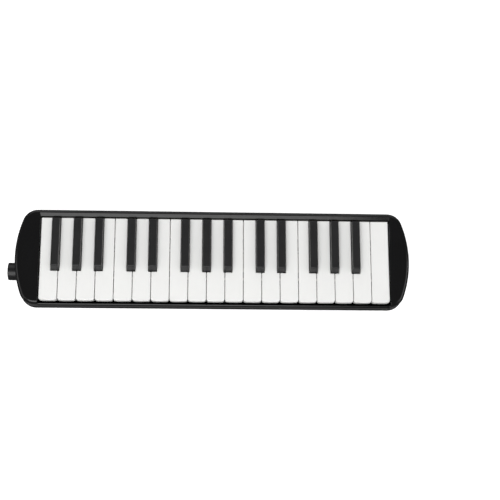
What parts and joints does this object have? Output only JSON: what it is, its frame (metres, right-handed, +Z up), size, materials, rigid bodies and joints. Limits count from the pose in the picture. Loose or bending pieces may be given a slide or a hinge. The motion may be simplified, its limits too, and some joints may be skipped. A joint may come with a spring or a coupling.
{
  "type": "melodica",
  "caption": "Keyboard wind instrument: a flat glossy case with rounded ends, white and black piano keys over a reed section, a mouth socket at the left end and a drain button at the right.",
  "frame": {"origin": "on the table plane under the feet, below the middle of the bounding box", "axes": "+X towards the treble end, +Y away from the player, +Z up"},
  "size_m": [0.4342, 0.1042, 0.0495],
  "materials": {
    "case_gloss": "gloss",
    "white_key": "satin",
    "black_key": "satin",
    "socket_plastic": "satin",
    "foot_rubber": "matte",
    "screw_steel": "satin",
    "spring_steel": "satin",
    "rod_steel": "polished",
    "reed_brass": "satin",
    "plate_brass": "satin",
    "block_plastic": "satin",
    "comb_plastic": "satin",
    "gasket_rubber": "matte",
    "dark_felt": "matte",
    "strap_web": "matte",
    "button_plastic": "satin"
  },
  "bodies": {
    "case": {"top_case": "case_gloss", "bottom_case": "case_gloss", "case_screws": "screw_steel", "rubber_feet": "foot_rubber", "wind_chest": "block_plastic", "chest_gasket": "gasket_rubber", "reed_plate_low": "plate_brass", "reed_plate_high": "plate_brass", "reeds": "reed_brass", "reed_rivets": "reed_brass", "cell_gasket": "gasket_rubber", "cell_block": "block_plastic", "chest_screws": "screw_steel", "block_screws": "screw_steel", "hinge_comb": "comb_plastic", "hinge_rod": "rod_steel", "comb_screws": "screw_steel", "key_springs": "spring_steel", "stop_felts": "dark_felt", "mouth_socket": "socket_plastic", "socket_seal": "gasket_rubber", "drain_spring": "spring_steel", "hand_strap": "strap_web", "strap_plates": "comb_plastic", "strap_screws": "screw_steel"},
    "drain": {"drain_button": "button_plastic", "drain_seal": "gasket_rubber"},
    "key_F3": {"key_F3": "white_key"},
    "key_Fs3": {"key_Fs3": "black_key"},
    "key_G3": {"key_G3": "white_key"},
    "key_Gs3": {"key_Gs3": "black_key"},
    "key_A3": {"key_A3": "white_key"},
    "key_As3": {"key_As3": "black_key"},
    "key_B3": {"key_B3": "white_key"},
    "key_C4": {"key_C4": "white_key"},
    "key_Cs4": {"key_Cs4": "black_key"},
    "key_D4": {"key_D4": "white_key"},
    "key_Ds4": {"key_Ds4": "black_key"},
    "key_E4": {"key_E4": "white_key"},
    "key_F4": {"key_F4": "white_key"},
    "key_Fs4": {"key_Fs4": "black_key"},
    "key_G4": {"key_G4": "white_key"},
    "key_Gs4": {"key_Gs4": "black_key"},
    "key_A4": {"key_A4": "white_key"},
    "key_As4": {"key_As4": "black_key"},
    "key_B4": {"key_B4": "white_key"},
    "key_C5": {"key_C5": "white_key"},
    "key_Cs5": {"key_Cs5": "black_key"},
    "key_D5": {"key_D5": "white_key"},
    "key_Ds5": {"key_Ds5": "black_key"},
    "key_E5": {"key_E5": "white_key"},
    "key_F5": {"key_F5": "white_key"},
    "key_Fs5": {"key_Fs5": "black_key"},
    "key_G5": {"key_G5": "white_key"},
    "key_Gs5": {"key_Gs5": "black_key"},
    "key_A5": {"key_A5": "white_key"},
    "key_As5": {"key_As5": "black_key"},
    "key_B5": {"key_B5": "white_key"},
    "key_C6": {"key_C6": "white_key"}
  },
  "joints": [
    {"name": "key_F3_pivot", "type": "hinge", "parent": "case", "child": "key_F3", "pos_m": [0.0029, 0.016, 0.0362], "axis": [1, 0, 0], "range_deg": [0, 4], "stiffness_Nm_per_rad": 0.2, "springref_deg": -8.59, "deforming": ["key_springs"]},
    {"name": "key_Fs3_pivot", "type": "hinge", "parent": "case", "child": "key_Fs3", "pos_m": [0.0029, 0.016, 0.0362], "axis": [1, 0, 0], "range_deg": [0, 6], "stiffness_Nm_per_rad": 0.2, "springref_deg": -8.59},
    {"name": "key_G3_pivot", "type": "hinge", "parent": "case", "child": "key_G3", "pos_m": [0.0029, 0.016, 0.0362], "axis": [1, 0, 0], "range_deg": [0, 4], "stiffness_Nm_per_rad": 0.2, "springref_deg": -8.59},
    {"name": "key_Gs3_pivot", "type": "hinge", "parent": "case", "child": "key_Gs3", "pos_m": [0.0029, 0.016, 0.0362], "axis": [1, 0, 0], "range_deg": [0, 6], "stiffness_Nm_per_rad": 0.2, "springref_deg": -8.59},
    {"name": "key_A3_pivot", "type": "hinge", "parent": "case", "child": "key_A3", "pos_m": [0.0029, 0.016, 0.0362], "axis": [1, 0, 0], "range_deg": [0, 4], "stiffness_Nm_per_rad": 0.2, "springref_deg": -8.59},
    {"name": "key_As3_pivot", "type": "hinge", "parent": "case", "child": "key_As3", "pos_m": [0.0029, 0.016, 0.0362], "axis": [1, 0, 0], "range_deg": [0, 6], "stiffness_Nm_per_rad": 0.2, "springref_deg": -8.59},
    {"name": "key_B3_pivot", "type": "hinge", "parent": "case", "child": "key_B3", "pos_m": [0.0029, 0.016, 0.0362], "axis": [1, 0, 0], "range_deg": [0, 4], "stiffness_Nm_per_rad": 0.2, "springref_deg": -8.59},
    {"name": "key_C4_pivot", "type": "hinge", "parent": "case", "child": "key_C4", "pos_m": [0.0029, 0.016, 0.0362], "axis": [1, 0, 0], "range_deg": [0, 4], "stiffness_Nm_per_rad": 0.2, "springref_deg": -8.59},
    {"name": "key_Cs4_pivot", "type": "hinge", "parent": "case", "child": "key_Cs4", "pos_m": [0.0029, 0.016, 0.0362], "axis": [1, 0, 0], "range_deg": [0, 6], "stiffness_Nm_per_rad": 0.2, "springref_deg": -8.59},
    {"name": "key_D4_pivot", "type": "hinge", "parent": "case", "child": "key_D4", "pos_m": [0.0029, 0.016, 0.0362], "axis": [1, 0, 0], "range_deg": [0, 4], "stiffness_Nm_per_rad": 0.2, "springref_deg": -8.59},
    {"name": "key_Ds4_pivot", "type": "hinge", "parent": "case", "child": "key_Ds4", "pos_m": [0.0029, 0.016, 0.0362], "axis": [1, 0, 0], "range_deg": [0, 6], "stiffness_Nm_per_rad": 0.2, "springref_deg": -8.59},
    {"name": "key_E4_pivot", "type": "hinge", "parent": "case", "child": "key_E4", "pos_m": [0.0029, 0.016, 0.0362], "axis": [1, 0, 0], "range_deg": [0, 4], "stiffness_Nm_per_rad": 0.2, "springref_deg": -8.59},
    {"name": "key_F4_pivot", "type": "hinge", "parent": "case", "child": "key_F4", "pos_m": [0.0029, 0.016, 0.0362], "axis": [1, 0, 0], "range_deg": [0, 4], "stiffness_Nm_per_rad": 0.2, "springref_deg": -8.59},
    {"name": "key_Fs4_pivot", "type": "hinge", "parent": "case", "child": "key_Fs4", "pos_m": [0.0029, 0.016, 0.0362], "axis": [1, 0, 0], "range_deg": [0, 6], "stiffness_Nm_per_rad": 0.2, "springref_deg": -8.59},
    {"name": "key_G4_pivot", "type": "hinge", "parent": "case", "child": "key_G4", "pos_m": [0.0029, 0.016, 0.0362], "axis": [1, 0, 0], "range_deg": [0, 4], "stiffness_Nm_per_rad": 0.2, "springref_deg": -8.59},
    {"name": "key_Gs4_pivot", "type": "hinge", "parent": "case", "child": "key_Gs4", "pos_m": [0.0029, 0.016, 0.0362], "axis": [1, 0, 0], "range_deg": [0, 6], "stiffness_Nm_per_rad": 0.2, "springref_deg": -8.59},
    {"name": "key_A4_pivot", "type": "hinge", "parent": "case", "child": "key_A4", "pos_m": [0.0029, 0.016, 0.0362], "axis": [1, 0, 0], "range_deg": [0, 4], "stiffness_Nm_per_rad": 0.2, "springref_deg": -8.59},
    {"name": "key_As4_pivot", "type": "hinge", "parent": "case", "child": "key_As4", "pos_m": [0.0029, 0.016, 0.0362], "axis": [1, 0, 0], "range_deg": [0, 6], "stiffness_Nm_per_rad": 0.2, "springref_deg": -8.59},
    {"name": "key_B4_pivot", "type": "hinge", "parent": "case", "child": "key_B4", "pos_m": [0.0029, 0.016, 0.0362], "axis": [1, 0, 0], "range_deg": [0, 4], "stiffness_Nm_per_rad": 0.2, "springref_deg": -8.59},
    {"name": "key_C5_pivot", "type": "hinge", "parent": "case", "child": "key_C5", "pos_m": [0.0029, 0.016, 0.0362], "axis": [1, 0, 0], "range_deg": [0, 4], "stiffness_Nm_per_rad": 0.2, "springref_deg": -8.59},
    {"name": "key_Cs5_pivot", "type": "hinge", "parent": "case", "child": "key_Cs5", "pos_m": [0.0029, 0.016, 0.0362], "axis": [1, 0, 0], "range_deg": [0, 6], "stiffness_Nm_per_rad": 0.2, "springref_deg": -8.59},
    {"name": "key_D5_pivot", "type": "hinge", "parent": "case", "child": "key_D5", "pos_m": [0.0029, 0.016, 0.0362], "axis": [1, 0, 0], "range_deg": [0, 4], "stiffness_Nm_per_rad": 0.2, "springref_deg": -8.59},
    {"name": "key_Ds5_pivot", "type": "hinge", "parent": "case", "child": "key_Ds5", "pos_m": [0.0029, 0.016, 0.0362], "axis": [1, 0, 0], "range_deg": [0, 6], "stiffness_Nm_per_rad": 0.2, "springref_deg": -8.59},
    {"name": "key_E5_pivot", "type": "hinge", "parent": "case", "child": "key_E5", "pos_m": [0.0029, 0.016, 0.0362], "axis": [1, 0, 0], "range_deg": [0, 4], "stiffness_Nm_per_rad": 0.2, "springref_deg": -8.59},
    {"name": "key_F5_pivot", "type": "hinge", "parent": "case", "child": "key_F5", "pos_m": [0.0029, 0.016, 0.0362], "axis": [1, 0, 0], "range_deg": [0, 4], "stiffness_Nm_per_rad": 0.2, "springref_deg": -8.59},
    {"name": "key_Fs5_pivot", "type": "hinge", "parent": "case", "child": "key_Fs5", "pos_m": [0.0029, 0.016, 0.0362], "axis": [1, 0, 0], "range_deg": [0, 6], "stiffness_Nm_per_rad": 0.2, "springref_deg": -8.59},
    {"name": "key_G5_pivot", "type": "hinge", "parent": "case", "child": "key_G5", "pos_m": [0.0029, 0.016, 0.0362], "axis": [1, 0, 0], "range_deg": [0, 4], "stiffness_Nm_per_rad": 0.2, "springref_deg": -8.59},
    {"name": "key_Gs5_pivot", "type": "hinge", "parent": "case", "child": "key_Gs5", "pos_m": [0.0029, 0.016, 0.0362], "axis": [1, 0, 0], "range_deg": [0, 6], "stiffness_Nm_per_rad": 0.2, "springref_deg": -8.59},
    {"name": "key_A5_pivot", "type": "hinge", "parent": "case", "child": "key_A5", "pos_m": [0.0029, 0.016, 0.0362], "axis": [1, 0, 0], "range_deg": [0, 4], "stiffness_Nm_per_rad": 0.2, "springref_deg": -8.59},
    {"name": "key_As5_pivot", "type": "hinge", "parent": "case", "child": "key_As5", "pos_m": [0.0029, 0.016, 0.0362], "axis": [1, 0, 0], "range_deg": [0, 6], "stiffness_Nm_per_rad": 0.2, "springref_deg": -8.59},
    {"name": "key_B5_pivot", "type": "hinge", "parent": "case", "child": "key_B5", "pos_m": [0.0029, 0.016, 0.0362], "axis": [1, 0, 0], "range_deg": [0, 4], "stiffness_Nm_per_rad": 0.2, "springref_deg": -8.59},
    {"name": "key_C6_pivot", "type": "hinge", "parent": "case", "child": "key_C6", "pos_m": [0.0029, 0.016, 0.0362], "axis": [1, 0, 0], "range_deg": [0, 4], "stiffness_Nm_per_rad": 0.2, "springref_deg": -8.59},
    {"name": "drain_push", "type": "slide", "parent": "case", "child": "drain", "axis": [-1, 0, 0], "range_m": [0, 0.002], "stiffness_N_per_m": 300, "springref_m": -0.004, "deforming": ["drain_spring"]}
  ]
}
